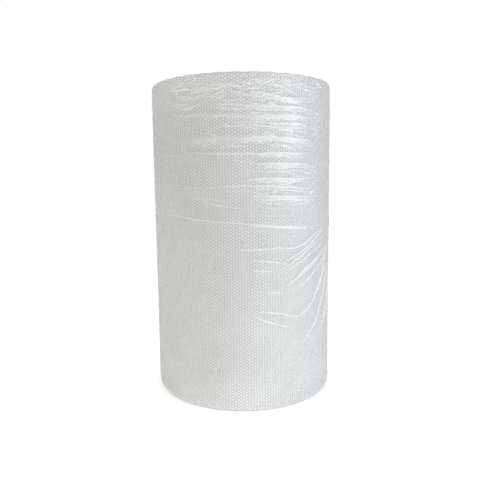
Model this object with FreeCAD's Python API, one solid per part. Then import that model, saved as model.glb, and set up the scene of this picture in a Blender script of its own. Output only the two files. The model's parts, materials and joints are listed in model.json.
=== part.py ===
# A roll of bubble wrap standing on one end, as it is stored and sold.
#
# One long web of bubble film is wound on a mandrel, which is pulled out afterwards and leaves an
# open bore. The wound web is one solid. Its outer wall follows the winding, so it steps down by
# one turn at the free edge, and a strip of clear tape holds that edge to the turn below. Both
# ends show the turns as a spiral of ridges. Slack in the outer turn lies in low creases: level
# ones in lanes round the upper half, and a fan of pulled ones below the tape.
#
# Millimetres, +Z up. The origin is on the bore's axis in the plane the roll stands on. The front
# is -Y, and azimuths are counted from the front towards +X, the way the web was wound.

import FreeCAD, Part
import math
import os

# Web and winding
WEB_WIDTH = 1200.0            # width of the web, which is the height of the standing roll
OUTER_RADIUS = 358.0          # outermost turn, at its free edge
TURN_THICKNESS = 4.0          # film and bubbles of one turn, as wound
BORE_RADIUS = 38.0            # left by the mandrel
FREE_EDGE_AZIMUTH = 88.0      # where the outermost turn ends, just out of sight from the front

# Ends
TURNS_PER_RIDGE = 5           # turns that the winding presses into one ridge at the top
RIDGE_HEIGHT = 10.0           # the turns stand free there
TURNS_PER_GROOVE = 9          # turns between two grooves at the bottom
GROOVE_DEPTH = 5.0            # the weight has pressed the turns level between them
GROOVE_WIDTH = 9.0
INNER_BORDER = 4.0            # plain turns between the bore and the first ridge
OUTER_BORDER = 11.0           # plain turns between the last ridge and the outer wall
RIM_ROUNDING = 10.0           # soft outer corner at both ends
RIM_FACETS = 2                # flat steps that make up the rounding

# Tape
TAPE_WIDTH = 48.0
TAPE_LENGTH = 130.0           # along the wall, half on each side of the free edge
TAPE_THICKNESS = 0.3
TAPE_CLEARANCE = 0.3          # between the tape and the bubbles that it sticks to
TAPE_DEPTH = 535.0            # middle of the tape below the top end
TAPE_RAMP = 9.0               # run in which the tape comes down from one turn to the next

# Creases
CREASE_FLANK_DEG = 33.0       # slope of a crease's sides above the wall
CREASE_ROOT = 3.0             # how deep its foot sits in the wall

# Slack in the outer turn lies in lanes. Each row has the crease's azimuth, its depth below the top
# end, its tilt, its length along the wall and its rise. A positive tilt climbs towards +X.
LANE_CREASES = [
    (8, 54, -18, 130, 3.0),
    (18, 117, -1, 310, 3.2),
    (-3, 141, -1, 540, 2.4),
    (4, 219, 1, 620, 3.6),
    (-3, 270, 0, 560, 2.4),
    (26, 308, 0, 170, 2.2),
    (-36, 386, -1, 230, 1.8),
    (20, 389, -6, 250, 2.4),
    (20, 427, -1, 260, 2.4),
    (1, 512, -5, 690, 3.6),
    (-9, 610, 1, 600, 2.2),
    (17, 651, -8, 170, 2.2),
    (21, 766, -7, 120, 1.8),
    (23, 844, -13, 160, 2.2),
    (16, 878, -19, 170, 2.2),
]

# The tape holds up the free edge at one place, and the web below hangs from it in creases that fan
# out. Their first two values are degrees back from the free edge and the drop below the tape.
PULLED_CREASES = [
    (42, 43, 27, 180, 3.0),
    (48, 92, 29, 270, 3.4),
    (44, 112, 29, 215, 3.2),
    (44, 158, 29, 245, 3.0),
    (27, 176, 68, 150, 3.2),
    (40, 288, 42, 170, 3.0),
    (29, 280, 71, 110, 2.6),
    (43, 388, 41, 190, 3.0),
    (30, 382, 38, 120, 2.4),
]

# Derived sizes
UNDER_RADIUS = OUTER_RADIUS - TURN_THICKNESS
SPIRAL_START = BORE_RADIUS + INNER_BORDER
SPIRAL_END = OUTER_RADIUS - OUTER_BORDER
FREE_EDGE_ANGLE = FREE_EDGE_AZIMUTH - 90.0      # from +X, anticlockwise
TAPE_HEIGHT = WEB_WIDTH - TAPE_DEPTH
UP = FreeCAD.Vector(0, 0, 1)
ORIGIN = FreeCAD.Vector(0, 0, 0)


def face_from(points):
    """Flat face with straight sides through the points, in the X-Z plane."""
    corners = [FreeCAD.Vector(x, 0, z) for x, z in points]
    return Part.Face(Part.makePolygon(corners + corners[:1]))


def half_turn(face, centre_x, start_deg):
    """Solid swept by an X-Z face through half a turn about the upright line at centre_x."""
    turned = face.copy()
    turned.rotate(FreeCAD.Vector(centre_x, 0, 0), UP, start_deg)
    return turned.revolve(FreeCAD.Vector(centre_x, 0, 0), UP, 180)


def wall_radius(azimuth):
    """Radius of the outer wall, which shrinks by one turn on the way back round the roll."""
    back = (FREE_EDGE_AZIMUTH - azimuth) % 360.0
    return OUTER_RADIUS - TURN_THICKNESS * back / 360.0


def wall_section(radius):
    """Half section of the wound web from the axis out to the wall, with soft outer corners."""
    rounding = []
    for n in range(RIM_FACETS + 1):
        turn = math.radians(90.0 * n / RIM_FACETS)
        inset = RIM_ROUNDING * (1 - math.sin(turn))
        rounding.append((radius - inset, RIM_ROUNDING * (1 - math.cos(turn))))
    upper = [(x, WEB_WIDTH - z) for x, z in reversed(rounding)]
    return face_from([(0, 0)] + rounding + upper + [(0, WEB_WIDTH)])


def wound_block():
    """Wall and ends before the spiral is opened: two half turns whose centres lie half a turn's
    thickness apart, so that the wall runs smoothly from one to the other and steps at the edge."""
    shift = TURN_THICKNESS / 2
    near = half_turn(wall_section(UNDER_RADIUS), 0, 0)
    far_face = wall_section(UNDER_RADIUS + shift)
    far_face.translate(FreeCAD.Vector(shift, 0, 0))
    far = half_turn(far_face, shift, 180)
    return near.fuse(far).removeSplitter()


def ridge_combs(first_radius, pitch, count):
    """Tooth form above the top end: its underside leaves one peaked ridge per pitch."""
    top = WEB_WIDTH + RIDGE_HEIGHT
    points = []
    for n in range(count):
        start = first_radius + n * pitch
        points.append((start, WEB_WIDTH))
        points.append((start + pitch / 2, WEB_WIDTH - RIDGE_HEIGHT))
    end = first_radius + count * pitch
    points += [(end, WEB_WIDTH), (end, top), (first_radius, top)]
    return [face_from(points)]


def groove_cuts(first_radius, pitch, count):
    """V grooves in the bottom end, one per pitch, with level turns between them."""
    cuts = []
    slope = GROOVE_DEPTH / (GROOVE_WIDTH / 2)
    below = 1.0
    reach = GROOVE_WIDTH / 2 + below / slope
    for n in range(count):
        middle = first_radius + (n + 0.5) * pitch
        cuts.append(
            face_from([(middle - reach, -below), (middle, GROOVE_DEPTH), (middle + reach, -below)])
        )
    return cuts


def spiral_cut(make_faces, turns_per_step):
    """Cutters for a spiral that opens by one pitch in each turn, as pairs of half turns."""
    pitch = turns_per_step * TURN_THICKNESS
    count = int((SPIRAL_END - SPIRAL_START) / pitch) - 1
    shift = pitch / 2
    cutters = [half_turn(face, 0, 0) for face in make_faces(SPIRAL_START, pitch, count)]
    for face in make_faces(SPIRAL_START + shift, pitch, count):
        face.translate(FreeCAD.Vector(shift, 0, 0))
        cutters.append(half_turn(face, shift, 180))
    return cutters


def crease(azimuth, height, tilt, length, rise):
    """Low roof-shaped ridge along a tilted line on the wall, which sinks into it at both ends."""
    radius = wall_radius(azimuth)
    angle = math.radians(azimuth - 90)
    outward = FreeCAD.Vector(math.cos(angle), math.sin(angle), 0)
    around = UP.cross(outward)
    slant = math.radians(tilt)
    along = around * math.cos(slant) + UP * math.sin(slant)
    across = outward.cross(along)

    bend = math.cos(slant) ** 2 / radius + 8 * rise / length**2
    crest_radius = 1 / bend
    crest = outward * (radius + rise) + UP * height
    centre = crest - outward * crest_radius
    depth = rise + CREASE_ROOT
    half_foot = depth / math.tan(math.radians(CREASE_FLANK_DEG))
    foot = crest - outward * depth
    corners = [crest, foot + across * half_foot, foot - across * half_foot]
    section = Part.Face(Part.makePolygon(corners + corners[:1]))

    sweep = math.degrees(1.1 * length / crest_radius)
    section.rotate(centre, across, -sweep / 2)
    return section.revolve(centre, across, sweep)


def all_creases():
    """Lane creases, placed from the top end, and pulled creases, placed from the taped edge."""
    creases = [crease(azimuth, WEB_WIDTH - depth, *form) for azimuth, depth, *form in LANE_CREASES]
    for back, drop, *form in PULLED_CREASES:
        creases.append(crease(FREE_EDGE_AZIMUTH - back, TAPE_HEIGHT - drop, *form))
    return creases


def wound_web():
    """The whole wound web as one solid."""
    block = wound_block()
    block = block.cut(spiral_cut(ridge_combs, TURNS_PER_RIDGE))
    block = block.cut(spiral_cut(groove_cuts, TURNS_PER_GROOVE))
    block = block.cut(Part.makeCylinder(BORE_RADIUS, WEB_WIDTH, ORIGIN, UP))
    block.rotate(ORIGIN, UP, FREE_EDGE_ANGLE)
    return block.fuse(all_creases())


def tape_strip():
    """Clear tape that lies on the outer turn, ramps down over the free edge and grips the turn
    below. Its outline in plan is as thick as the tape, and is extruded to the tape's width."""
    half = TAPE_LENGTH / 2
    near_angle = -half / OUTER_RADIUS
    ramp_angle = TAPE_RAMP / UNDER_RADIUS
    far_angle = half / UNDER_RADIUS

    def at(radius, angle):
        return FreeCAD.Vector(radius * math.cos(angle), radius * math.sin(angle), 0)

    def outer_at(offset, angle):
        """Point over the outer turn, whose centre lies half a thickness from the bore's axis."""
        shift = TURN_THICKNESS / 2
        return at(UNDER_RADIUS + shift + offset, angle) + FreeCAD.Vector(shift, 0, 0)

    def strip_side(offset):
        outer = Part.Arc(
            outer_at(offset, near_angle), outer_at(offset, near_angle / 2), outer_at(offset, 0)
        )
        inner = Part.Arc(
            at(UNDER_RADIUS + offset, ramp_angle),
            at(UNDER_RADIUS + offset, (ramp_angle + far_angle) / 2),
            at(UNDER_RADIUS + offset, far_angle),
        )
        return outer, inner

    under_outer, under_inner = strip_side(TAPE_CLEARANCE)
    over_outer, over_inner = strip_side(TAPE_CLEARANCE + TAPE_THICKNESS)
    edges = [
        under_outer,
        Part.LineSegment(under_outer.EndPoint, under_inner.StartPoint),
        under_inner,
        Part.LineSegment(under_inner.EndPoint, over_inner.EndPoint),
        over_inner,
        Part.LineSegment(over_inner.StartPoint, over_outer.EndPoint),
        over_outer,
        Part.LineSegment(over_outer.StartPoint, under_outer.StartPoint),
    ]
    outline = Part.Face(Part.Wire(Part.sortEdges([edge.toShape() for edge in edges])[0]))
    outline.translate(UP * (TAPE_HEIGHT - TAPE_WIDTH / 2))
    strip = outline.extrude(UP * TAPE_WIDTH)
    strip.rotate(ORIGIN, UP, FREE_EDGE_ANGLE)
    return strip


def export(name, shape):
    """Checks that the piece is one valid solid and writes it."""
    if not shape.isValid() or len(shape.Solids) != 1:
        raise ValueError(f"{name}: {len(shape.Solids)} solids, valid {shape.isValid()}")
    shape.Solids[0].exportStep(f"parts/{name}.step")
    print(f"{name}: {shape.Volume / 1e9:.4f} cubic metres")


os.makedirs("parts", exist_ok=True)
export("wound_bubble_wrap", wound_web())
export("closing_tape", tape_strip())
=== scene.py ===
# %% [markdown]
# # A roll of bubble wrap
#
# The object is a large coreless roll of clear bubble film, standing on one end. What the eye reads
# is made of four things: thousands of small domes in a close pattern, the thin film between them
# that creases where it is slack, the spiral of turns on the two ends, and a soft grey-white shine.
# Each of the four gets cells of its own below.
#
# The plan follows the factory. The web is made flat, with its bubbles, as it leaves the machine.
# Then one function winds every vertex on to the roll. Working flat keeps each step simple, because
# on flat film a bubble row is a straight row and a crease is a line on a sheet.

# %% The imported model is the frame
import json
import math

import bmesh
import bpy
import numpy as np
from mathutils import Matrix, Vector


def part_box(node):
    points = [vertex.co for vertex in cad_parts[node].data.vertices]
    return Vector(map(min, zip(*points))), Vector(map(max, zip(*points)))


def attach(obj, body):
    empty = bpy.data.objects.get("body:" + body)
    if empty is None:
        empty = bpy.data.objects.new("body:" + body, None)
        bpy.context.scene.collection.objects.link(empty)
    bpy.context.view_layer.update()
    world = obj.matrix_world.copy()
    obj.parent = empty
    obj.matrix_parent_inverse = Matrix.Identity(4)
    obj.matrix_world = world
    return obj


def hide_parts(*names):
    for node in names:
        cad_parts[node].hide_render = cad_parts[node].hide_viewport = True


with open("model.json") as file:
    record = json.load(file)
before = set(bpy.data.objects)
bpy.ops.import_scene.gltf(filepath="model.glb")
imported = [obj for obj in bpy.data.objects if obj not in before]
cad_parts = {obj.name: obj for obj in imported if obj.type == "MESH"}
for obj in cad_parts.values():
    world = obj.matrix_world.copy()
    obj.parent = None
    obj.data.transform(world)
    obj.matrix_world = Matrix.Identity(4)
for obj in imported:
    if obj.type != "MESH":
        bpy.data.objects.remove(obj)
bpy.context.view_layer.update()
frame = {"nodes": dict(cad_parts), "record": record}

# %% [markdown]
# ## Sizes
#
# The height and the radii come from the frame, so the pieces land where the solid roll is. The
# roll's radius grows by one turn of film on each round, and the free edge is the farthest point
# out, which is why the radius can be read from the box of the solid.

# %% Sizes from the frame, and sizes of the film
MM = 0.001
WEB = "wound_bubble_wrap"
TAPE = "closing_tape"
FREE_EDGE = math.radians(-2)        # angle from +X, anticlockwise, where the outermost turn ends
TURN = 4 * MM                       # film and bubbles of one turn, as wound
FRONT = math.radians(-90)           # the front of the roll is -Y

low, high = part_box(WEB)
mounts = {mount["name"]: mount for mount in frame["record"]["mounts"]}
WEB_WIDTH = high.z - low.z
OUTER_RADIUS = high.x / math.cos(FREE_EDGE)
BORE_RADIUS = mounts["spindle_bore"]["dims"]["r_mm"] * MM
WEB_LENGTH = math.pi * (OUTER_RADIUS**2 - BORE_RADIUS**2) / TURN
TURN_LENGTH = math.pi * (OUTER_RADIUS**2 - (OUTER_RADIUS - TURN) ** 2) / TURN
print(f"web {WEB_WIDTH:.3f} m wide and {WEB_LENGTH:.1f} m long, outer radius {OUTER_RADIUS:.4f} m")

BUBBLE_RADIUS = 5 * MM
BUBBLE_RISE = 2.3 * MM              # height of a full dome
FILM_DEPTH = 1.7 * MM               # film between the bubbles, below the outer face of the turn
PITCH = 11.5 * MM                   # up a column of bubbles
COLUMNS = 218                       # columns in the outermost turn, an even number
COLUMN = TURN_LENGTH / COLUMNS      # from one column to the next

# %% [markdown]
# ## Camera
#
# A photo of a cylinder gives its camera away: how far the sides lean in, and how strongly the two
# ends curve, fix the distance and the height of the lens. The camera stands 2.1 m in front, below
# the top of the roll, so neither end shows.

# %% Camera
CAMERA_DISTANCE = 2.087
CAMERA_HEIGHT = 0.835
CAMERA_DOWN = math.radians(6.79)
CAMERA_ROLL = math.radians(-0.66)
CAMERA_PAN = math.radians(0.25)
FOCAL_PIXELS = 500
PHOTO_PIXELS = 480
SENSOR_WIDTH = 36                   # millimetres

camera_data = bpy.data.cameras.new("camera")
camera_data.sensor_width = SENSOR_WIDTH
camera_data.lens = SENSOR_WIDTH * FOCAL_PIXELS / PHOTO_PIXELS
camera = bpy.data.objects.new("camera", camera_data)
camera.matrix_world = (
    Matrix.Translation((0, -CAMERA_DISTANCE, CAMERA_HEIGHT))
    @ Matrix.Rotation(CAMERA_PAN, 4, "Z")
    @ Matrix.Rotation(math.radians(90) - CAMERA_DOWN, 4, "X")
    @ Matrix.Rotation(CAMERA_ROLL, 4, "Z")
)
bpy.context.scene.collection.objects.link(camera)
bpy.context.scene.camera = camera

# %% [markdown]
# ## Helpers for meshes
#
# A mesh of half a million vertices is too many for a Python loop over each vertex. NumPy reads all
# the places at once, changes them together and writes them back. The shapes still come from mesh
# operators and modifiers: these helpers only move what those have made.

# %% Read, write and store meshes


def read_points(mesh):
    """All vertices of a mesh as an array with a row for each."""
    points = np.empty(len(mesh.vertices) * 3)
    mesh.vertices.foreach_get("co", points)
    return points.reshape(-1, 3)


def write_points(mesh, points):
    """Puts the rows back as the places of the vertices."""
    mesh.vertices.foreach_set("co", points.ravel())
    mesh.update()


def new_piece(name, bm):
    """Makes an object of a bmesh and links it to the scene."""
    mesh = bpy.data.meshes.new(name)
    bm.to_mesh(mesh)
    bm.free()
    piece = bpy.data.objects.new(name, mesh)
    bpy.context.scene.collection.objects.link(piece)
    return piece


def apply_modifiers(piece):
    """Bakes the modifiers of a piece into its mesh."""
    graph = bpy.context.evaluated_depsgraph_get()
    mesh = bpy.data.meshes.new_from_object(piece.evaluated_get(graph))
    piece.modifiers.clear()
    piece.data = mesh


def finish_piece(piece, material, replaced):
    """Gives a piece its smooth faces, its material and its place in the frame."""
    piece.data.shade_smooth()
    piece.data.materials.clear()
    piece.data.materials.append(material)
    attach(piece, "root")
    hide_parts(replaced)
    faces = sum(len(polygon.vertices) - 2 for polygon in piece.data.polygons)
    print(f"{piece.name}: {faces} triangles")


# %% [markdown]
# ## Winding
#
# On the flat web, x runs along the film and ends at the free edge at x = 0, y runs up the web, and
# z stands out of it. Winding turns x into an angle. The radius shrinks by one turn on each round,
# so the web lies on a spiral, and the outermost turn steps down on to the one below at its edge.


# %% Wind a flat mesh on to the roll
def spiral(along):
    """Radius and angle of the web at a distance along it, which is negative before its end."""
    radius = np.sqrt(OUTER_RADIUS**2 + TURN * along / math.pi)
    angle = FREE_EDGE - 2 * math.pi * (OUTER_RADIUS - radius) / TURN
    return radius, angle


def wind(piece):
    """Turns the flat places of a piece's vertices into places on the roll."""
    flat = read_points(piece.data)
    radius, angle = spiral(flat[:, 0])
    radius = radius + flat[:, 2]
    wound = np.column_stack((radius * np.cos(angle), radius * np.sin(angle), flat[:, 1]))
    write_points(piece.data, wound)


def arc_from_front(along):
    """Distance round the wall from the middle of the front, positive towards +X."""
    angle = spiral(along)[1]
    return (angle - FRONT) * OUTER_RADIUS


# %% [markdown]
# ## Creases and slack
#
# The web is never wound quite evenly. Slack collects in lanes that run round the roll, and at the
# right a strip of tape holds up the free edge at one point, so that the film below hangs from it in
# a fan of pulled creases. A crease is given as a few points of a line, then its rise, its half width
# and the half width of the fold on its crest, all in millimetres.
#
# A sculpting brush would do this by hand. A rule in code can be changed and repeated: the height
# that a crease adds falls off with the distance from its line. Near the line the film stands up in
# a rounded ridge, and on both sides it is drawn down a little, as pinched film is.

# %% Lines of the creases: azimuth in degrees and height in millimetres along each
LANES = [
    # points of the line, rise, half width, half width of the fold on its crest or 0 for none
    ([(-46, 1156), (-29, 1148), (-14, 1144)], 1.6, 6, 2.7),
    ([(-44, 1108), (-35, 1084), (-28, 1084), (-20, 1112)], 1.5, 5, 2.7),
    ([(-46, 1078), (-36, 1060), (-24, 1062)], 1.3, 5, 2.7),
    ([(-14, 1162), (4, 1147), (16, 1140)], 2.0, 7, 6),
    ([(12, 1157), (34, 1161)], 1.4, 6, 5),
    ([(-2, 1152), (16, 1120), (24, 1106), (38, 1117)], 2.2, 7, 7),
    ([(-8, 1128), (4, 1124), (16, 1132)], 1.6, 6, 5),
    ([(-8, 1126), (12, 1118), (27, 1100), (44, 1096)], 2.2, 7, 5),
    ([(-16, 1122), (-3, 1090), (10, 1082), (48, 1082)], 3.0, 9, 9),
    ([(-44, 1062), (-20, 1060), (0, 1053), (48, 1051)], 3.0, 11, 14),
    ([(12, 1028), (30, 1024), (46, 1027)], 1.6, 9, 7),
    ([(-48, 962), (-30, 974), (0, 981), (22, 978), (50, 970)], 4.2, 13, 17),
    ([(-46, 934), (0, 926), (46, 926)], 2.6, 9, 11),
    ([(8, 890), (30, 888), (46, 891)], 2.6, 11, 11),
    ([(12, 866), (34, 863)], 1.0, 7, 2.7),
    ([(4, 838), (26, 837), (44, 836)], 2.6, 10, 12),
    ([(-53, 816), (-21, 810), (4, 817), (22, 810), (48, 798)], 2.2, 7, 7),
    ([(2, 779), (20, 776), (46, 772)], 2.6, 10, 12),
    ([(8, 737), (34, 734)], 1.2, 8, 6),
    ([(8, 712), (30, 709)], 1.2, 8, 6),
    ([(-40, 775), (-18, 776)], 0.7, 7, 0),
    ([(-60, 722), (-40, 708), (-18, 693), (5, 684), (24, 671), (60, 662)], 2.0, 5, 2.7),
    ([(2, 680), (22, 667), (42, 660)], 3.0, 6, 3.5),
    ([(-56, 592), (-30, 585), (-8, 589)], 1.0, 8, 0),
    ([(-4, 592), (14, 593), (28, 600)], 2.2, 9, 3.5),
    ([(4, 556), (16, 549), (28, 533)], 2.2, 8, 3.2),
    ([(4, 520), (18, 512)], 1.8, 8, 3.0),
    ([(8, 442), (28, 429)], 1.6, 8, 6),
    ([(4, 406), (14, 424)], 1.0, 8, 0),
    ([(9, 370), (22, 359), (30, 341), (42, 334)], 2.8, 6, 3.4),
    ([(3, 366), (11, 339), (19, 320), (30, 298)], 2.6, 6, 3.2),
    ([(-50, 402), (-36, 384)], 0.8, 8, 0),
]
PULLED = [
    # the same for the creases pulled by the tape
    ([(74, 676), (61, 664), (52, 640), (45, 623), (40, 602), (31, 590), (20, 594)], 3.0, 5, 3.5),
    ([(74, 662), (61, 647), (55, 637), (46, 605), (38, 577), (24, 541)], 3.0, 5, 3.3),
    ([(74, 648), (62, 627), (48, 597), (40, 573), (32, 544), (20, 508)], 3.2, 5, 3.3),
    ([(74, 628), (65, 609), (52, 583), (40, 550), (27, 512)], 3.0, 5, 3.3),
    ([(74, 602), (66, 585), (54, 555), (46, 529), (38, 503), (26, 450)], 3.8, 5, 3.5),
    ([(74, 588), (62, 565), (52, 541), (42, 505), (31, 470)], 3.2, 5, 3.4),
    ([(72, 566), (60, 534), (48, 492), (38, 452), (30, 430)], 3.4, 5, 3.4),
    ([(70, 620), (62, 565), (61, 510), (56, 448), (50, 410), (44, 358), (32, 333)], 4.2, 7, 3.2),
    ([(68, 520), (63, 440), (60, 398), (54, 337), (49, 288), (37, 228)], 3.2, 6, 3.0),
    ([(76, 500), (70, 400), (62, 290), (52, 240)], 2.6, 6, 2.7),
]

# %% Rounded lines, and distances to them


def round_off(points, rounds=3):
    """Cuts the corners of a line again and again, which rounds it."""
    line = np.array(points, float)
    for _ in range(rounds):
        near = 0.75 * line[:-1] + 0.25 * line[1:]
        far = 0.25 * line[:-1] + 0.75 * line[1:]
        cut = np.stack((near, far), axis=1).reshape(-1, 2)
        line = np.vstack((line[:1], cut, line[-1:]))
    return line


def crease_line(points):
    """The rounded line of a crease, as metres round the wall and metres of height."""
    return round_off([(math.radians(a) * OUTER_RADIUS, h * MM) for a, h in points])


def distance_to_line(places, line):
    """Distance of each place to a line, and how far along the line its nearest point is."""
    nearest = np.full(len(places), np.inf)
    share = np.zeros(len(places))
    steps = np.diff(line, axis=0)
    lengths = np.linalg.norm(steps, axis=1)
    starts = np.concatenate(([0], np.cumsum(lengths)))
    for start, step, length, before in zip(line, steps, lengths, starts):
        along = np.clip((places - start) @ step / length**2, 0, 1)
        gap = np.linalg.norm(places - start - along[:, None] * step, axis=1)
        closer = gap < nearest
        nearest[closer] = gap[closer]
        share[closer] = (before + along[closer] * length) / starts[-1]
    return nearest, share


# %% Short pulled creases in a row
HATCH = 14                          # how many, one above the other over the fan
HATCH_START = (42, 708)             # azimuth and height of the lowest one
HATCH_STEP = (0.45, 31)             # from one to the next
HATCH_SHAPE = ((0, 0), (4, 22), (9, 44))  # points of each, from its start
HATCH_RISE = 1.0
HATCH_HALF_WIDTH = 4
SHORT_FOLD = 2.3                    # half width of the fold on a short crease


def hatch_lines():
    """Short parallel creases that climb to the right, in the slack above the fan."""
    lines = []
    for n in range(HATCH):
        azimuth = HATCH_START[0] + HATCH_STEP[0] * n
        height = HATCH_START[1] + HATCH_STEP[1] * n
        points = [(azimuth + right, height + up) for right, up in HATCH_SHAPE]
        lines.append((points, HATCH_RISE, HATCH_HALF_WIDTH, SHORT_FOLD))
    return lines


# %% Short creases strewn over the front
SMALL_CREASES = 130                 # between the lanes, most of them high up
RIM_CREASES = 70                    # in the crumpled rim at the top


def bent_line(azimuth, height, reach, tilt, bend):
    """Points of a nearly level line that reaches as far to both sides of its middle."""
    left = (azimuth - reach, height - tilt)
    right = (azimuth + reach, height + tilt)
    return [left, (azimuth, height + bend), right]


def small_creases():
    """Short level creases, strewn over the slack upper part of the front and thinning out."""
    chance = np.random.default_rng(11)
    lines = []
    for _ in range(SMALL_CREASES):
        azimuth = chance.normal(20, 22)
        height = 1165 - 430 * chance.random() ** 1.5
        reach = chance.uniform(4, 13)
        tilt = chance.normal(-0.3, 0.8) * reach
        bend = chance.normal(0, 4)
        points = bent_line(azimuth, height, reach, tilt, bend)
        lines.append((points, chance.uniform(0.6, 1.5), chance.uniform(3, 4.5), SHORT_FOLD))
    return lines


def rim_creases():
    """Short creases in all slants, close under the top edge of the front."""
    chance = np.random.default_rng(17)
    lines = []
    for _ in range(RIM_CREASES):
        azimuth = chance.uniform(-45, 55)
        height = 1176 - 65 * chance.random()
        reach = chance.uniform(1.5, 5)
        tilt = np.clip(chance.normal(0, 1.6), -2.2, 2.2) * reach
        points = bent_line(azimuth, height, reach, tilt, chance.normal(0, 2))
        lines.append((points, chance.uniform(1.1, 2.0), chance.uniform(3, 4.5), SHORT_FOLD))
    return lines


# %% Fine creases along the broad lanes
FINE_LINED = 6                      # half width of a fold from which a lane has them
LINED = (6, 20, 34, 45)             # azimuths that they run over
LINED_SHORT = 10                    # how far before the last of those a lane may end
LINE_SHIFTS = (3, -9)               # how far above the lane each one runs
LINE_RISE = 1.1
LINE_GAIN = 0.2                     # and more on a lane that rises more
LINE_HALF_WIDTH = 4


def lane_lines():
    """Fine creases above and below the lanes at the right, where the film is pinched."""
    lines = []
    for points, rise, _, fold in LANES:
        azimuths, heights = zip(*points)
        if fold < FINE_LINED or azimuths[-1] < LINED[-1] - LINED_SHORT:
            continue
        for shift in LINE_SHIFTS:
            lined = [(azimuth, np.interp(azimuth, azimuths, heights) + shift) for azimuth in LINED]
            lines.append((lined, LINE_RISE + LINE_GAIN * rise, LINE_HALF_WIDTH, SHORT_FOLD))
    return lines


# %% Creases on the sides and the back, and the list of all
BACK_LANES = 9                      # long level ones
BACK_CREASES = 80                   # and short ones


def back_creases():
    """Level creases on the sides and the back, where the film lies more evenly than in front."""
    chance = np.random.default_rng(5)
    lines = []
    for n in range(BACK_LANES + BACK_CREASES):
        long = n < BACK_LANES
        height = 1150 - 900 * chance.random() ** 1.4
        reach = chance.uniform(30, 60) if long else chance.uniform(5, 15)
        azimuth = chance.uniform(reach - 268, -62 - reach)
        tilt = chance.normal(0, 0.5) * reach
        bend = chance.normal(0, 5)
        points = bent_line(azimuth, height, reach, tilt, bend)
        rise = chance.uniform(1.5, 2.4) if long else chance.uniform(0.7, 1.5)
        half_width = chance.uniform(7, 10) if long else chance.uniform(4, 5.5)
        lines.append((points, rise, half_width, half_width if long else SHORT_FOLD))
    return lines


ALL_CREASES = LANES + PULLED + hatch_lines() + small_creases() + rim_creases() + back_creases()
ALL_CREASES += lane_lines()
print(f"{len(ALL_CREASES)} creases")

# %% Height that the creases add at places on the wall
PULL_IN_FRONT = 0.7                 # pull at the middle of the front, as a share of the full pull
PULL_GAIN = 0.6                     # how much it grows with each radian to the right
LEAST_PULL = 0.35
CREASE_REACH = 4                    # half widths from its line beyond which a crease adds nothing
DRAWN_DOWN = 0.45                   # how strongly the film beside a crease is drawn down
FALL_OFF = 0.8                      # how fast a crease dies out on both sides
FADED_ENDS = 5                      # its ends fade in over one part in so many of its length


def pull(arc):
    """How hard the film is pulled: fully at the right front, and less towards the left and back."""
    return np.clip(PULL_IN_FRONT + PULL_GAIN * arc / OUTER_RADIUS, LEAST_PULL, 1)


def crease_height(arc, height):
    """What all the creases add to the wall at the given places, in metres."""
    total = np.zeros(len(arc))
    places = np.column_stack((arc, height))
    for points, rise, half_width, _ in ALL_CREASES:
        line = crease_line(points)
        reach = CREASE_REACH * half_width * MM
        inside = np.all((places > line.min(0) - reach) & (places < line.max(0) + reach), axis=1)
        if not inside.any():
            continue
        gap, share = distance_to_line(places[inside], line)
        across = (gap / (half_width * MM)) ** 2
        profile = (1 - DRAWN_DOWN * across) * np.exp(-FALL_OFF * across)
        fade = np.clip(np.minimum(share, 1 - share) * FADED_ENDS, 0, 1)
        total[inside] += rise * MM * profile * fade * (2 - fade) * pull(arc[inside])
    return total


# %% [markdown]
# Between the creases the web still isn't smooth: it swells in level bands, most of all in the upper
# third, where the turns are loosest. A few long waves of unlike lengths add up to bands that never
# repeat. The two edges of the web also lean in, since nothing outside holds them.

# %% Slack of the outer turn
BANDS = [
    # length up the web and round the roll in millimetres, height of the wave, start
    (97, 1900, 0.28, 0.4),
    (61, 1150, 0.24, 2.1),
    (37, 620, 0.20, 4.0),
    (26, 330, 0.16, 1.3),
]
LOOSE_FROM = 0.62                   # share of the web's width above which the bands are strongest
LOOSE_BELOW = 0.45                  # strength of the bands low down
LOOSE_ABOVE = 0.9                   # what the loose turns high up add to it
LOOSE_CHANGE = 12                   # how sharply the one passes into the other
TOP_LEAN = (2.0 * MM, 14 * MM)      # how far the edge leans in, and over what height
BOTTOM_LEAN = (3.0 * MM, 16 * MM)
CORNER_LEAN = (5.0 * MM, 50 * MM)   # the same for the rubbed stretch of the bottom edge
CORNER = (math.radians(-68), math.radians(38))  # middle and half width of that stretch
TOP_DIPS = 3.0 * MM                 # how deep the top edge dips between two scallops
DIPS_REACH = 25 * MM                # height of the film that dips with it
DIPS_AT = (0.5, 0.6)                # radians to the right where they are deepest, and how far round


def slack_height(arc, height):
    """What the loose bands add to the wall, in metres."""
    above = 1 / (1 + np.exp(-(height / WEB_WIDTH - LOOSE_FROM) * LOOSE_CHANGE))
    loose = LOOSE_BELOW + LOOSE_ABOVE * above
    total = np.zeros(len(arc))
    for up, around, wave, start in BANDS:
        sway = np.sin(2 * math.pi * arc / (around * MM) + start)
        phase = 2 * math.pi * (height / (up * MM) + sway)
        total += wave * MM * np.sin(phase + start)
    return total * loose


def edge_lean(arc, height):
    """How far the two edges of the web lean in, in metres."""
    lean = np.zeros(len(height))
    for (inward, reach), from_edge in ((TOP_LEAN, WEB_WIDTH - height), (BOTTOM_LEAN, height)):
        lean += inward * np.clip(1 - from_edge / reach, 0, 1) ** 2
    rubbed = np.exp(-(((arc / OUTER_RADIUS - CORNER[0]) / CORNER[1]) ** 2))
    inward, reach = CORNER_LEAN
    lean += inward * rubbed * np.clip(1 - height / reach, 0, 1) ** 2
    return lean


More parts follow.
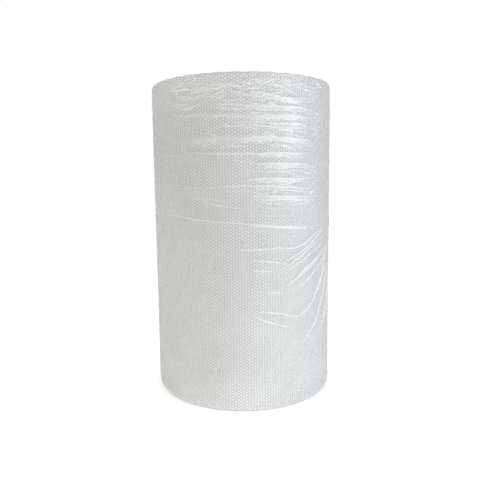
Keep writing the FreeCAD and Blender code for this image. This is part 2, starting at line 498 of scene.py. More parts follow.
def scallops(arc, height):
    """How far the top edge of the slack turn dips, in metres, and most at the right front."""
    middle, spread = DIPS_AT
    strength = 0.35 + 0.65 * np.exp(-(((arc / OUTER_RADIUS - middle) / spread) ** 2))
    wave = 0.5 + 0.3 * np.sin(arc / (9.5 * MM)) + 0.2 * np.sin(arc / (23 * MM) + 1)
    near_top = np.clip(1 - (WEB_WIDTH - height) / DIPS_REACH, 0, 1) ** 2
    return TOP_DIPS * strength * wave * near_top


def loosen(piece):
    """Adds the creases, the bands and the lean of the edges to a flat piece of the outer turn."""
    flat = read_points(piece.data)
    arc = arc_from_front(flat[:, 0])
    flat[:, 2] += crease_height(arc, flat[:, 1]) + slack_height(arc, flat[:, 1])
    flat[:, 2] -= edge_lean(arc, flat[:, 1])
    flat[:, 1] -= scallops(arc, flat[:, 1])
    write_points(piece.data, flat)


# %% [markdown]
# ## Shared effects for the materials
#
# Both the film and the bubbles are slightly cloudy, and both are finely crinkled. These two effects
# are node groups: each is built once, and a material sets its own scale and strength.

# %% Node groups for haze and crinkle


def new_group(name, inputs, outputs):
    """A shader node group with float inputs, named outputs and its two end nodes."""
    group = bpy.data.node_groups.new(name, "ShaderNodeTree")
    for title, value in inputs:
        socket = group.interface.new_socket(title, in_out="INPUT", socket_type="NodeSocketFloat")
        socket.default_value = value
    for title, kind in outputs:
        group.interface.new_socket(title, in_out="OUTPUT", socket_type=kind)
    return group, group.nodes.new("NodeGroupInput"), group.nodes.new("NodeGroupOutput")


def math_node(nodes, operation, value=None):
    """A Math node, with its second value set where one is given."""
    node = nodes.new("ShaderNodeMath")
    node.operation = operation
    if value is not None:
        node.inputs[1].default_value = value
    return node


def build_haze():
    """Soft clouds from 0 to 1: large drifts of haze with finer mottling inside them."""
    group, given, result = new_group(
        "film_haze", [("Scale", 3.0), ("Contrast", 1.0)], [("Mask", "NodeSocketFloat")]
    )
    nodes, links = group.nodes, group.links
    place = nodes.new("ShaderNodeTexCoord")
    noise = nodes.new("ShaderNodeTexNoise")
    noise.inputs["Detail"].default_value = 5
    noise.inputs["Roughness"].default_value = 0.62
    centred = math_node(nodes, "SUBTRACT", 0.5)
    spread = math_node(nodes, "MULTIPLY")
    lifted = math_node(nodes, "ADD", 0.5)
    lifted.use_clamp = True
    links.new(place.outputs["Object"], noise.inputs["Vector"])
    links.new(given.outputs["Scale"], noise.inputs["Scale"])
    links.new(noise.outputs["Fac"], centred.inputs[0])
    links.new(centred.outputs[0], spread.inputs[0])
    links.new(given.outputs["Contrast"], spread.inputs[1])
    links.new(spread.outputs[0], lifted.inputs[0])
    links.new(lifted.outputs[0], result.inputs["Mask"])
    return group


def build_crinkle():
    """Fine level crinkles of thin film, as a bumped normal."""
    group, given, result = new_group(
        "film_crinkle", [("Scale", 60.0), ("Depth", 0.0004)], [("Normal", "NodeSocketVector")]
    )
    nodes, links = group.nodes, group.links
    place = nodes.new("ShaderNodeTexCoord")
    stretch = nodes.new("ShaderNodeMapping")
    stretch.inputs["Scale"].default_value = (0.45, 0.45, 1.6)
    noise = nodes.new("ShaderNodeTexNoise")
    noise.inputs["Detail"].default_value = 4
    bump = nodes.new("ShaderNodeBump")
    bump.inputs["Strength"].default_value = 1.0
    links.new(place.outputs["Object"], stretch.inputs["Vector"])
    links.new(stretch.outputs["Vector"], noise.inputs["Vector"])
    links.new(given.outputs["Scale"], noise.inputs["Scale"])
    links.new(noise.outputs["Fac"], bump.inputs["Height"])
    links.new(given.outputs["Depth"], bump.inputs["Distance"])
    links.new(bump.outputs["Normal"], result.inputs["Normal"])
    return group


HAZE = build_haze()
CRINKLE = build_crinkle()


def add_haze(nodes, scale, contrast):
    """Places the haze among the nodes of a material, with values of its own."""
    haze = nodes.new("ShaderNodeGroup")
    haze.node_tree = HAZE
    haze.inputs["Scale"].default_value = scale
    haze.inputs["Contrast"].default_value = contrast
    return haze

# %% [markdown]
# ## Materials
#
# Polyethylene film is clear, but eighty turns of it are not: light scatters between the layers and
# comes back grey-white with a trace of green. So the pieces are pale and opaque with a film of gloss
# over them, which is a clear coat on a soft base. The tops of the bubbles are painted a little
# lighter than the film between them: a painted highlight on each dome and painted shade between
# them. Their steep sides are darker than both: they are clear and show the grey behind them, and
# their darker film is also painted shade at the edges of the roll, where the sides face the lens.
# The film of the thin folds is lighter still, as a painted highlight along each crease.

# %% Film materials
LAYER_SHEEN = 0.5                   # many films that each mirror a little act like a dull metal
EDGE_TINT = (0.3, 0.31, 0.33, 1)    # seen at a slant, the layers send less light back


def film_material(name, dark, light, roughness, crinkle_scale, crinkle_depth, coat):
    """Pale scattering film under a clear coat. Haze drifts between the two colours."""
    material = bpy.data.materials.new(name)
    material.use_nodes = True
    nodes, links = material.node_tree.nodes, material.node_tree.links
    shader = nodes["Principled BSDF"]
    haze = add_haze(nodes, 5, 1.8)
    tint = nodes.new("ShaderNodeMix")
    tint.data_type = "RGBA"
    tint.inputs["A"].default_value = (*dark, 1)
    tint.inputs["B"].default_value = (*light, 1)
    rough = nodes.new("ShaderNodeMapRange")
    rough.inputs["To Min"].default_value = roughness - 0.05
    rough.inputs["To Max"].default_value = roughness + 0.08
    crinkle = nodes.new("ShaderNodeGroup")
    crinkle.node_tree = CRINKLE
    crinkle.inputs["Scale"].default_value = crinkle_scale
    crinkle.inputs["Depth"].default_value = crinkle_depth
    links.new(haze.outputs["Mask"], tint.inputs["Factor"])
    links.new(tint.outputs["Result"], shader.inputs["Base Color"])
    links.new(haze.outputs["Mask"], rough.inputs["Value"])
    links.new(rough.outputs["Result"], shader.inputs["Roughness"])
    links.new(crinkle.outputs["Normal"], shader.inputs["Normal"])
    shader.inputs["Metallic"].default_value = LAYER_SHEEN
    shader.inputs["IOR"].default_value = 1.5
    shader.inputs["Specular Tint"].default_value = EDGE_TINT
    shader.inputs["Coat Weight"].default_value = coat
    shader.inputs["Coat Roughness"].default_value = 0.2
    return material


# Film between the bubbles, also used for the bore: darker than the tops, as painted shade between
# domes.
WALL_FILM = film_material(
    "wall_film", (0.506, 0.508, 0.506), (0.576, 0.578, 0.576), 0.58, 90, 0.5 * MM, 0.3
)
# Tops of the bubbles: lighter than the film, as a painted highlight on each dome.
BUBBLE_FILM = film_material(
    "bubble_film", (0.595, 0.595, 0.592), (0.687, 0.687, 0.684), 0.46, 180, 0.3 * MM, 0.6
)
# Sides of the bubbles: clear film showing the grey behind, and painted shade at the roll's edges.
SIDE_FILM = film_material(
    "bubble_side_film", (0.31, 0.315, 0.315), (0.39, 0.395, 0.395), 0.5, 180, 0.3 * MM, 0.2
)
# Thin folds: lighter than the rest, a painted highlight along each fine crease.
FOLD_FILM = film_material(
    "fold_film", (0.66, 0.665, 0.665), (0.76, 0.765, 0.765), 0.42, 180, 0.2 * MM, 0.9
)
LANE_FILM = film_material(
    "lane_film", (0.55, 0.555, 0.55), (0.64, 0.645, 0.64), 0.42, 170, 1.1 * MM, 0.6
)
END_FILM = film_material(
    "end_film", (0.66, 0.67, 0.65), (0.78, 0.79, 0.78), 0.42, 240, 0.8 * MM, 0.3
)

# %% [markdown]
# ## The film of the outer turn
#
# This is the continuous skin that the bubbles stand on, and it carries the creases. A grid is the
# right start, because creases need vertices everywhere and a grid can be finer where they lie: the
# columns are pulled together on the front, where the creases are small and many.

# %% Outer turn, flat and then wound
FILM_COLUMNS = 280
FILM_ROWS = 330
FREE_AZIMUTH = math.degrees(FREE_EDGE - FRONT)
SPACING = [                         # azimuth in degrees, and share of the columns back to there
    (FREE_AZIMUTH, 0),
    (15, 0.38),
    (-92, 0.76),
    (FREE_AZIMUTH - 360, 1),
]
LAP = 12 * MM                       # film that runs on under the free edge
FILM_TOP = WEB_WIDTH - 0.5 * MM
FILM_BOTTOM = 0.3 * MM
TOP_LIP = Vector((0, -2.5 * MM, -5 * MM))      # how the lip turns in along each edge
BOTTOM_LIP = Vector((0, 1 * MM, -4 * MM))
FREE_LIP = Vector((6 * MM, 0, -4.2 * MM))
AT_EDGE = 0.1 * MM                  # a vertex this close to an edge is on it
TAPE_HOLD = 60 * MM                 # height above and below the tape that it still holds down
CURL = (1.6 * MM, 14 * MM)          # how far the free edge stands off, and how far back that goes
WAVER = (2.5 * MM, 90 * MM)         # the same for how its cut wanders


def film_spacing(share):
    """Place along the web for a share of the columns, counted back from the free edge."""
    shares = [reached for _, reached in SPACING]
    lengths = [(FREE_AZIMUTH - azimuth) / 360 * TURN_LENGTH for azimuth, _ in SPACING]
    lengths[-1] += LAP
    return -np.interp(share, shares, lengths)


def edge_lift(along, height):
    """Curl of the free edge, which stands off the roll except where the tape holds it."""
    tape_low, tape_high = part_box(TAPE)
    from_tape = np.maximum(tape_low.z - height, height - tape_high.z)
    free = np.clip(from_tape / TAPE_HOLD, 0, 1)
    curl = CURL[0] * np.exp(along / CURL[1])
    wavy = 0.65 + 0.35 * np.sin(height / (47 * MM)) * np.sin(height / (19 * MM) + 1)
    return curl * free * wavy


def make_film():
    """The flat outer turn with a lip turned down along its free edge and its two ends."""
    bm = bmesh.new()
    bmesh.ops.create_grid(bm, x_segments=FILM_COLUMNS, y_segments=FILM_ROWS, size=1)
    for vertex in bm.verts:
        share = (1 - vertex.co.x) / 2
        vertex.co.x = film_spacing(share)
        vertex.co.y = FILM_BOTTOM + (vertex.co.y + 1) / 2 * (FILM_TOP - FILM_BOTTOM)
    rim = [edge for edge in bm.edges if edge.is_boundary]
    bottom = [e for e in rim if all(v.co.y < FILM_BOTTOM + AT_EDGE for v in e.verts)]
    top = [e for e in rim if all(v.co.y > FILM_TOP - AT_EDGE for v in e.verts)]
    free = [e for e in rim if all(v.co.x > -AT_EDGE for v in e.verts)]
    for edges, turned in ((top, TOP_LIP), (bottom, BOTTOM_LIP), (free, FREE_LIP)):
        made = bmesh.ops.extrude_edge_only(bm, edges=edges)
        moved = [v for v in made["geom"] if isinstance(v, bmesh.types.BMVert)]
        bmesh.ops.translate(bm, verts=moved, vec=turned)
    return new_piece("outer_turn_film", bm)


def sink(piece, depth):
    """Moves a flat piece in by a depth, below the tops of the bubbles."""
    flat = read_points(piece.data)
    flat[:, 2] -= depth
    write_points(piece.data, flat)


def edge_waver(along, height):
    """How far the hand-cut free edge wanders from a straight line. It dies out along the web."""
    cut = np.sin(height / (170 * MM) + 0.6)
    cut += 0.6 * np.sin(height / (61 * MM)) + 0.3 * np.sin(height / (23 * MM))
    return WAVER[0] * cut * np.exp(along / WAVER[1])


def curl_free_edge(piece):
    """Lifts the flat film near its free edge and lets its cut wander."""
    flat = read_points(piece.data)
    before_edge = np.minimum(flat[:, 0], 0)
    flat[:, 2] += edge_lift(before_edge, flat[:, 1])
    flat[:, 0] += edge_waver(before_edge, flat[:, 1])
    write_points(piece.data, flat)


film = make_film()
sink(film, FILM_DEPTH)
loosen(film)
curl_free_edge(film)
wind(film)
finish_piece(film, WALL_FILM, WEB)

# %% [markdown]
# ## Pinched folds
#
# Where slack film is pulled hard it doesn't only swell. Along the crest of a crease it stands up in
# a fold. A thin fold rises over the tops of the bubbles and shows as a fine bright line: partly the
# light it catches, and partly a painted highlight, since its film is lighter than the rest. A broad
# one, in the lanes, ends just at those tops, so that the bubbles still show through a soft bright
# band. The grid of the film is too coarse for either, and a finer one would cost far too many faces.
# So each fold is a strip of its own, laid along its crease on the flat web and then wound with it.

# %% Strips along the creases
FOLD_STEP = 4 * MM                  # length of one face along a fold
THIN_FOLD = 3.5                     # half width in millimetres up to which a fold is thin
THIN_CREST = 1.0 * MM               # how far a thin fold stands out of the turn
BROAD_CREST = -0.05 * MM            # and a broad one, through which the bubbles still show
FOLD_SINK = 0.4 * MM                # its sides below the film
THIN_FACES = 4                      # faces across a thin fold
BROAD_FACES = 10                    # and across a broad one
LOOK_AHEAD = 0.02                   # share of a line over which its direction is taken
FOLD_STRENGTH = (0.3, 0.23)         # of any fold, and more for each millimetre that its crease rises


def along_from_arc(arc):
    """Place along the flat web for a distance round the wall from the middle of the front."""
    radius = OUTER_RADIUS - TURN * (FREE_EDGE - FRONT - arc / OUTER_RADIUS) / (2 * math.pi)
    return (radius**2 - OUTER_RADIUS**2) * math.pi / TURN


def point_on(line, share):
    """Places on a line for shares of its length."""
    lengths = np.linalg.norm(np.diff(line, axis=0), axis=1)
    marks = np.concatenate(([0], np.cumsum(lengths))) / lengths.sum()
    return np.column_stack([np.interp(share, marks, line[:, axis]) for axis in (0, 1)])


def add_fold(bm, line, half_width, strength, start):
    """Adds a strip along a line: its sides lie under the film and its middle is a crest."""
    length = np.linalg.norm(np.diff(line, axis=0), axis=1).sum()
    cells = int(length / FOLD_STEP) + 4
    thin = half_width <= THIN_FOLD * MM
    faces_across = THIN_FACES if thin else BROAD_FACES
    made = bmesh.ops.create_grid(bm, x_segments=cells, y_segments=faces_across, size=1)
    share = np.array([(vertex.co.x + 1) / 2 for vertex in made["verts"]])
    side = np.array([vertex.co.y for vertex in made["verts"]])
    middle = point_on(line, share)
    ahead = point_on(line, np.minimum(share + LOOK_AHEAD, 1))
    ahead -= point_on(line, np.maximum(share - LOOK_AHEAD, 0))
    ahead /= np.linalg.norm(ahead, axis=1)[:, None]
    gone = share * length
    uneven = 0.8 + 0.2 * np.sin(gone / (17 * MM) + start) * np.sin(gone / (41 * MM) + 2 * start)
    full = np.clip(np.minimum(share, 1 - share) * 3, 0, 1) ** 0.7 * uneven * strength
    if not thin:
        full *= pull(middle[:, 0])
    across = side * half_width * (0.5 + 0.5 * full)
    arc = middle[:, 0] - ahead[:, 1] * across
    height = middle[:, 1] + ahead[:, 0] * across
    base = FILM_DEPTH + FOLD_SINK
    above = THIN_CREST if thin else BROAD_CREST
    crest = (base + above) * full * np.cos(side * math.pi / 2) ** 1.5 - base
    for vertex, place in zip(made["verts"], np.column_stack((along_from_arc(arc), height, crest))):
        vertex.co = place


def make_folds(name, narrowest, widest):
    """One piece with the folds whose half widths lie between two bounds, in millimetres."""
    bm = bmesh.new()
    for number, (points, rise, _, fold) in enumerate(ALL_CREASES):
        if narrowest < fold <= widest:
            strength = np.clip(FOLD_STRENGTH[0] + FOLD_STRENGTH[1] * rise, 0, 1)
            add_fold(bm, crease_line(points), fold * MM, strength, number)
    return new_piece(name, bm)


for name, bounds, material in (
    ("pinched_folds", (0, THIN_FOLD), FOLD_FILM),
    ("lane_folds", (THIN_FOLD, math.inf), LANE_FILM),
):
    folds = make_folds(name, *bounds)
    loosen(folds)
    wind(folds)
    finish_piece(folds, material, WEB)

# %% [markdown]
# ## The bubbles
#
# The machine draws the film into pockets on a heated drum and seals a flat film over their backs. A
# bubble on the roll is a low dome with firm, steep sides and a softly rounded top. One dome of a few
# faces is made from a circle: an inset raises the sides, and a poke raises the crown. Three Array
# modifiers then lay out the close pattern: a pair of columns, of which the second sits half a pitch
# higher, then that pair again and again round the roll, and then the rows up it. Each bubble stays
# under thirty triangles, because there are over twenty thousand.

# %% One bubble, and flat bands of them
BUBBLE_SIDES = 7
SHOULDER = 0.6 * MM                 # how far the sides of a bubble lean in
SIDE_SHARE = 0.74                   # share of its rise that the sides have, and the crown the rest
BUBBLE_SINK = 0.35 * MM             # how far the tops of full bubbles lie inside the turn's face
FILL = (0.95, 0.12)                 # mean and spread of the air in a bubble, where 1 is full
FILL_LIMITS = (0.5, 1.15)
BURST_SHARE = 0.006                 # share of the bubbles that are flat
BURST_FILL = 0.25
DOME_LEAN = 0.05                    # how far a dome leans over, for each metre of its height
FIRST_ROW = 10 * MM
ROWS = int((WEB_WIDTH - 2 * FIRST_ROW) / PITCH) + 1
BANDS_OF_ROWS = 3
RNG = np.random.default_rng(7)


def make_bubble():
    """One dome, with its base in the plane z = 0."""
    bm = bmesh.new()
    bmesh.ops.create_circle(bm, cap_ends=True, segments=BUBBLE_SIDES, radius=BUBBLE_RADIUS)
    crown = bm.faces[:]
    bmesh.ops.inset_region(
        bm, faces=crown, thickness=SHOULDER, depth=SIDE_SHARE * BUBBLE_RISE, use_boundary=True,
        use_even_offset=True,
    )
    bmesh.ops.poke(bm, faces=crown, offset=(1 - SIDE_SHARE) * BUBBLE_RISE)
    return bm


def lay_out(piece, count, step):
    """Repeats a piece in equal steps with an Array modifier."""
    array = piece.modifiers.new("row", "ARRAY")
    array.count = count
    array.use_relative_offset = False
    array.use_constant_offset = True
    array.constant_offset_displace = step


def vary_bubbles(piece, vertices_each):
    """Gives each bubble its own fill of air: most are firm, some are slack and a few are flat."""
    points = read_points(piece.data).reshape(-1, vertices_each, 3)
    fill = np.clip(RNG.normal(*FILL, len(points)), *FILL_LIMITS)
    burst = RNG.random(len(points)) < BURST_SHARE
    fill[burst] = BURST_FILL
    points[:, :, 2] *= fill[:, None]
    lean = RNG.normal(0, DOME_LEAN, (len(points), 1, 2))
    points[:, :, :2] += lean * points[:, :, 2:3]
    write_points(piece.data, points.reshape(-1, 3))


def make_bubbles(band, first, rows):
    """A band of bubble rows across the whole outer turn."""
    bm = make_bubble()
    start = Vector((-COLUMN / 2 - TURN_LENGTH + COLUMN, FIRST_ROW + first * PITCH, 0))
    bmesh.ops.translate(bm, verts=bm.verts, vec=start)
    vertices_each = len(bm.verts)
    piece = new_piece(f"bubbles_{band}", bm)
    lay_out(piece, 2, (COLUMN, PITCH / 2, 0))
    lay_out(piece, COLUMNS // 2, (2 * COLUMN, 0, 0))
    lay_out(piece, rows, (0, PITCH, 0))
    apply_modifiers(piece)
    vary_bubbles(piece, vertices_each)
    return piece


def darken_sides(piece):
    """Gives the sides of the bubbles, the faces with four corners, their darker film: partly clear
    film, partly painted shade.
    """
    piece.data.materials.append(SIDE_FILM)
    corners = np.empty(len(piece.data.polygons), dtype=np.int32)
    piece.data.polygons.foreach_get("loop_total", corners)
    piece.data.polygons.foreach_set("material_index", (corners == 4).astype(np.int32))
    piece.data.update()


first_row = 0
for band in range(BANDS_OF_ROWS):
    rows = (ROWS - first_row) // (BANDS_OF_ROWS - band)
    bubbles = make_bubbles(band, first_row, rows)
    sink(bubbles, BUBBLE_RISE + BUBBLE_SINK)
    loosen(bubbles)
    curl_free_edge(bubbles)
    wind(bubbles)
    finish_piece(bubbles, BUBBLE_FILM, WEB)
    darken_sides(bubbles)
    first_row += rows
print(f"{ROWS} rows of {COLUMNS} bubbles: {ROWS * COLUMNS}")

# %% [markdown]
# ## The ends of the roll
#
# Seen from above, the roll is one thin line of film wound eighty times, and between the lines lie
# the cut edges of the bubbles. Each end is one long strip, the edge of the web, that is wound with
# the same function as the wall. Across its thickness the strip has a crest, where the flat film
# stands, and a shoulder of bubbles, and it dips into a gap on both sides. Along it every second
# vertex is drawn in, between two bubbles, so that the shoulder is beaded.

# %% Strips along the edge of the web
GAP = 4.5 * MM                      # depth of the gap between two turns on the top end
PRESSED_GAP = 1.6 * MM              # the same at the bottom, where the weight closes it
END_DROP = 2.5 * MM                 # how far the outermost turn has slipped from the top
END_REACH = 12 * MM                 # how far in from the wall turns have slipped
ACROSS = (-1.06, -0.76, -0.3, 0.0)  # gap, crest, shoulder and gap across a turn, as shares of it
DOWN = (1.1, 0.0, 0.25, 1.0)        # how deep those four lie, as shares of the gap
BEAD_IN = 0.25                      # what is drawn in between two bubbles, as a share of a turn
BEAD_DOWN = 0.4                     # and how far it drops, as a share of the gap
LONG_WANDER = 140 * MM              # along a turn, from one rise of its edge to the next
SHORT_WANDER = 31 * MM              # the same for the smaller unrest in it
PUSHED_DEPTH = 18 * MM              # how far inside the wall turns still lean in with it


def wander(places, spacing, size, seed):
    """A smooth random curve: random values a spacing apart, joined by slow curves."""
    knots = np.random.default_rng(seed).normal(0, size, int(places.max() / spacing) + 3)
    share = places / spacing
    index = share.astype(int)
    blend = share - index
    blend = blend * blend * (3 - 2 * blend)
    return knots[index] * (1 - blend) + knots[index + 1] * blend


def make_end(name, step, gap, unrest, seed, edge_height):
    """The flat edge strip of all turns but the outermost: x along it, y up the end of the roll."""
    length = WEB_LENGTH - TURN_LENGTH
    segments = int(length / step)
    bm = bmesh.new()
    bmesh.ops.create_grid(bm, x_segments=segments, y_segments=3, size=1)
    piece = new_piece(name, bm)
    flat = read_points(piece.data)
    place = np.rint((1 - flat[:, 0]) / 2 * segments).astype(int)
    line = np.rint((flat[:, 1] + 1) * 1.5).astype(int)
    back = TURN_LENGTH + place * (length / segments)
    radius = spiral(-back)[0]
    half_round = math.pi * OUTER_RADIUS
    arc = (arc_from_front(-back) + half_round) % (2 * half_round) - half_round
    pushed = edge_lean(arc, np.full(len(back), edge_height))
    pushed = (pushed + BUBBLE_RISE) * np.exp((radius - OUTER_RADIUS) / PUSHED_DEPTH)
    between_bubbles = (place % 2 == 1) & (line == 2)
    thickness = np.array(ACROSS)[line] * TURN
    depth = np.array(DOWN)[line] * gap
    thickness = thickness - BEAD_IN * TURN * between_bubbles
    depth = depth + BEAD_DOWN * gap * between_bubbles
    crest = wander(back, LONG_WANDER, unrest, seed)
    crest += wander(back, SHORT_WANDER, unrest / 3, seed + 1)
    slip = END_DROP * np.clip(1 - (OUTER_RADIUS - radius) / END_REACH, 0, 1) ** 2
    flat[:, 0] = -back
    flat[:, 1] = slip + depth + np.clip(crest, -3 * unrest, 3 * unrest) + 3 * unrest
    flat[:, 2] = thickness - pushed
    write_points(piece.data, flat)
    return piece


def face_up(piece, upward):
    """Turns the faces of an open sheet so that they look up, or down."""
    bm = bmesh.new()
    bm.from_mesh(piece.data)
    bm.normal_update()
    lean = sum(face.normal.z * face.calc_area() for face in bm.faces)
    if (lean > 0) != upward:
        bmesh.ops.reverse_faces(bm, faces=bm.faces)
    bm.to_mesh(piece.data)
    bm.free()


top = make_end("top_turns", COLUMN / 2, GAP, 0.6 * MM, 21, WEB_WIDTH)
flat = read_points(top.data)
flat[:, 1] = WEB_WIDTH - flat[:, 1]
write_points(top.data, flat)
wind(top)
face_up(top, True)
finish_piece(top, END_FILM, WEB)

bottom = make_end("bottom_turns", COLUMN, PRESSED_GAP, 0.1 * MM, 33, 0)
wind(bottom)
face_up(bottom, False)
finish_piece(bottom, END_FILM, WEB)

# %% [markdown]
# ## The bore
#
# The roll was wound on a mandrel that has been drawn out, so its innermost turn is a plain tube of
# film. A cone with equal radii and no caps makes that tube. Its faces look at the axis.

# %% Bore
BORE_SIDES = 96
BORE_RINGS = 60


def make_bore():
    """The innermost turn, seen from inside."""
    bm = bmesh.new()
    height = WEB_WIDTH - 2 * PRESSED_GAP
    bmesh.ops.create_cone(
        bm, cap_ends=False, segments=BORE_SIDES, radius1=BORE_RADIUS, radius2=BORE_RADIUS,
        depth=height, matrix=Matrix.Translation((0, 0, WEB_WIDTH / 2)),
    )
    uprights = [e for e in bm.edges if abs(e.verts[0].co.z - e.verts[1].co.z) > height / 2]
    bmesh.ops.subdivide_edges(bm, edges=uprights, cuts=BORE_RINGS)
    bmesh.ops.recalc_face_normals(bm, faces=bm.faces)
    first = bm.faces[:][0]
    outward = first.calc_center_median()
    outward.z = 0
    if first.normal.dot(outward) > 0:
        bmesh.ops.reverse_faces(bm, faces=bm.faces)
    return new_piece("bore_turn", bm)


bore = make_bore()
finish_piece(bore, WALL_FILM, WEB)

# %% [markdown]
# ## The tape
#
# The strip of clear tape is the CAD solid itself, which already has the right shape. It only needs
# its finish: thin glossy film, a little yellow, through which the free edge still shows.

# %% Clear tape


def tape_material():
    """Clear tape: mostly see-through, glossy, with faint clouds of glue in it."""
    material = bpy.data.materials.new("clear_tape")
    material.use_nodes = True
    nodes, links = material.node_tree.nodes, material.node_tree.links
    shader = nodes["Principled BSDF"]
    haze = add_haze(nodes, 40, 2.5)
    cloud = nodes.new("ShaderNodeMapRange")
    cloud.inputs["To Min"].default_value = 0.35
    cloud.inputs["To Max"].default_value = 0.6
    links.new(haze.outputs["Mask"], cloud.inputs["Value"])
    links.new(cloud.outputs["Result"], shader.inputs["Alpha"])
    shader.inputs["Base Color"].default_value = (0.82, 0.80, 0.72, 1)
    shader.inputs["Roughness"].default_value = 0.12
    shader.inputs["Coat Weight"].default_value = 0.5
    return material


tape = frame["nodes"][TAPE]
tape.data.materials.clear()
tape.data.materials.append(tape_material())

# %% [markdown]
# ## Floor and light
#
# The roll stands on white in even studio light. The key is a wide softbox at the right, above the
# lens: it lays the broad sheen down the right of centre and catches the upper side of each crease.
# A tall cool strip beside it keeps the right edge of the wall clear, a warm fill comes from the far
# left, and a narrow beam picks out the rim there. Low lamps light the foot. Only the key and the
# strip show in the gloss. The world is a dim sky for what it lights, warm on one side and cool on
# the other, but white for the camera and for reflections, so that the gloss has a white room to
# mirror. The floor glows a little so that it is seen white, and less close to the roll, so that it
# keeps the roll's shadow.

# %% Floor
FLOOR_SEEN = 0.52                   # glow that keeps the floor white for the camera
FLOOR_NEAR = 0.27                   # the same close to the roll, where its shadow lies
SHADOW_REACH = 100 * MM             # how far out the glow takes to grow
SHADOW_STRETCH = (1.1, 1, 1)        # the shadow is a little shorter at the sides than in front
FLOOR_MIRRORED = 0.97               # glow that the gloss of the film sees
FLOOR_COLOUR = (0.90, 0.92, 0.97, 1)


def white_floor():
    """White floor with a glow that only the camera and the gloss see, weaker near the roll."""
    material = bpy.data.materials.new("white_floor")
    material.use_nodes = True
    nodes, links = material.node_tree.nodes, material.node_tree.links
    shader = nodes["Principled BSDF"]
    shader.inputs["Base Color"].default_value = FLOOR_COLOUR
    shader.inputs["Roughness"].default_value = 0.9
    shader.inputs["Specular IOR Level"].default_value = 0.1
    path = nodes.new("ShaderNodeLightPath")
    place = nodes.new("ShaderNodeTexCoord")
    widened = nodes.new("ShaderNodeVectorMath")
    widened.operation = "MULTIPLY"
    widened.inputs[1].default_value = SHADOW_STRETCH
    outward = nodes.new("ShaderNodeVectorMath")
    outward.operation = "LENGTH"
    growing = nodes.new("ShaderNodeMapRange")
    growing.interpolation_type = "SMOOTHSTEP"
    growing.inputs["From Min"].default_value = OUTER_RADIUS
    growing.inputs["From Max"].default_value = OUTER_RADIUS + SHADOW_REACH
    growing.inputs["To Min"].default_value = FLOOR_NEAR
    growing.inputs["To Max"].default_value = FLOOR_SEEN
    seen = math_node(nodes, "MULTIPLY")
    gloss_or_glass = math_node(nodes, "MAXIMUM")
    mirrored = math_node(nodes, "MULTIPLY", FLOOR_MIRRORED)
    glow = math_node(nodes, "ADD")
    links.new(place.outputs["Object"], widened.inputs[0])
    links.new(widened.outputs["Vector"], outward.inputs[0])
    links.new(outward.outputs["Value"], growing.inputs["Value"])
    links.new(path.outputs["Is Camera Ray"], seen.inputs[0])
    links.new(growing.outputs["Result"], seen.inputs[1])
    links.new(path.outputs["Is Glossy Ray"], gloss_or_glass.inputs[0])
    links.new(path.outputs["Is Transmission Ray"], gloss_or_glass.inputs[1])
    links.new(gloss_or_glass.outputs[0], mirrored.inputs[0])
    links.new(seen.outputs[0], glow.inputs[0])
    links.new(mirrored.outputs[0], glow.inputs[1])
    links.new(glow.outputs[0], shader.inputs["Emission Strength"])
    shader.inputs["Emission Color"].default_value = (1, 1, 1, 1)
    return material


bm = bmesh.new()
bmesh.ops.create_grid(bm, x_segments=1, y_segments=1, size=12)
floor = new_piece("floor", bm)
floor.data.materials.append(white_floor())

# %% Lights
WORLD_LIGHT = 0.56
WARM_SIDE = (1.11, 1.06, 0.93, 1)   # light of the room from the left front
COOL_SIDE = (0.70, 0.83, 1.00, 1)   # and from the right back, where it is dimmer
TOWARDS_COOL = (0.75, 0.53, -0.4)   # the way in which the one passes into the other
WHITE = (1.0, 1.0, 1.0)
ALL_ROUND = 180                     # spread in degrees of a softbox without a grid
LAMPS = [
    # name, place, what it faces, size, power, colour, whether the gloss shows it, spread
    ("key", (2.05, -1.6, 2.9), (0, 0, 0.8), (2.4, 0.9), 22.5, (1.0, 0.99, 1.0), True, ALL_ROUND),
    ("strip", (2.6, -1.25, 1.3), (0, 0, 0.7), (1.0, 2.4), 14, (0.83, 0.93, 1.0), True, ALL_ROUND),
    ("fill", (-3.4, -0.3, 1.8), (0, 0, 0.85), (1.6, 1.8), 36, (1.0, 0.97, 0.72), False, ALL_ROUND),
    ("low_right", (1.3, -1.6, 0.1), (0, 0, 0.1), (0.9, 0.2), 4, (0.98, 0.99, 1.0), False, ALL_ROUND),
    ("low", (1.2, -2.3, 0.15), (0, 0, 0.0), (2.4, 0.2), 3.5, WHITE, False, ALL_ROUND),
    ("toe", (0.4, -0.72, 0.03), (0.08, 0, 0.02), (1.0, 0.04), 0.65, WHITE, False, ALL_ROUND),
    ("toe_left", (-0.1, -0.75, 0.02), (-0.08, 0, 0.01), (0.5, 0.03), 0.06, WHITE, False, 45),
    ("rim", (-2.0, -1.7, 2.0), (-0.15, -0.25, 1.48), (0.4, 0.1), 0.8, (1.0, 0.99, 0.95), False, 20),
]


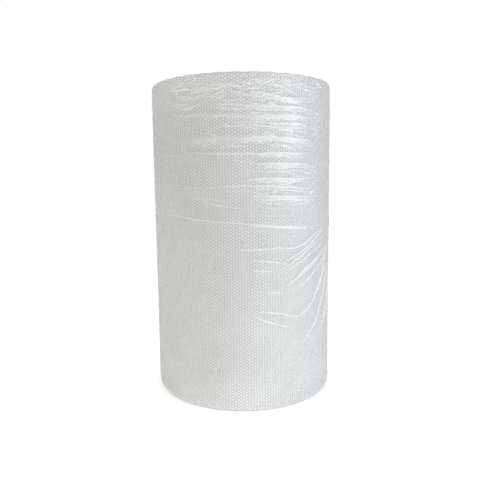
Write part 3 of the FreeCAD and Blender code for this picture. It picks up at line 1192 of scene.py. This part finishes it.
def softbox(name, place, target, size, power, colour, shines, spread):
    """A rectangular area light that faces its target. It may be left out of reflections."""
    data = bpy.data.lights.new(name, "AREA")
    data.shape = "RECTANGLE"
    data.size, data.size_y = size
    data.energy = power
    data.spread = math.radians(spread)
    data.color = colour
    lamp = bpy.data.objects.new(name, data)
    lamp.location = place
    lamp.rotation_euler = (Vector(target) - Vector(place)).to_track_quat("-Z", "Y").to_euler()
    lamp.visible_glossy = shines
    lamp.visible_camera = False
    bpy.context.scene.collection.objects.link(lamp)


def light_the_world():
    """Dim light from all round, warm to cool, and white for what the camera and the gloss see."""
    world = bpy.data.worlds.new("studio")
    bpy.context.scene.world = world
    world.use_nodes = True
    nodes, links = world.node_tree.nodes, world.node_tree.links
    lit = nodes["Background"]
    lit.inputs["Strength"].default_value = WORLD_LIGHT
    place = nodes.new("ShaderNodeTexCoord")
    across = nodes.new("ShaderNodeVectorMath")
    across.operation = "DOT_PRODUCT"
    across.inputs[1].default_value = TOWARDS_COOL
    side = nodes.new("ShaderNodeMapRange")
    side.interpolation_type = "SMOOTHSTEP"
    side.inputs["From Min"].default_value = -1
    sky = nodes.new("ShaderNodeMix")
    sky.data_type = "RGBA"
    sky.inputs["A"].default_value = WARM_SIDE
    sky.inputs["B"].default_value = COOL_SIDE
    links.new(place.outputs["Generated"], across.inputs[0])
    links.new(across.outputs["Value"], side.inputs["Value"])
    links.new(side.outputs["Result"], sky.inputs["Factor"])
    links.new(sky.outputs["Result"], lit.inputs["Color"])
    white = nodes.new("ShaderNodeBackground")
    white.inputs["Color"].default_value = (1, 1, 1, 1)
    path = nodes.new("ShaderNodeLightPath")
    camera_or_gloss = math_node(nodes, "MAXIMUM")
    seen = math_node(nodes, "MAXIMUM")
    mix = nodes.new("ShaderNodeMixShader")
    links.new(path.outputs["Is Camera Ray"], camera_or_gloss.inputs[0])
    links.new(path.outputs["Is Glossy Ray"], camera_or_gloss.inputs[1])
    links.new(camera_or_gloss.outputs[0], seen.inputs[0])
    links.new(path.outputs["Is Transmission Ray"], seen.inputs[1])
    links.new(seen.outputs[0], mix.inputs[0])
    links.new(lit.outputs[0], mix.inputs[1])
    links.new(white.outputs[0], mix.inputs[2])
    links.new(mix.outputs[0], nodes["World Output"].inputs["Surface"])


light_the_world()
for lamp in LAMPS:
    softbox(*lamp)

bpy.context.scene.view_settings.view_transform = "Standard"
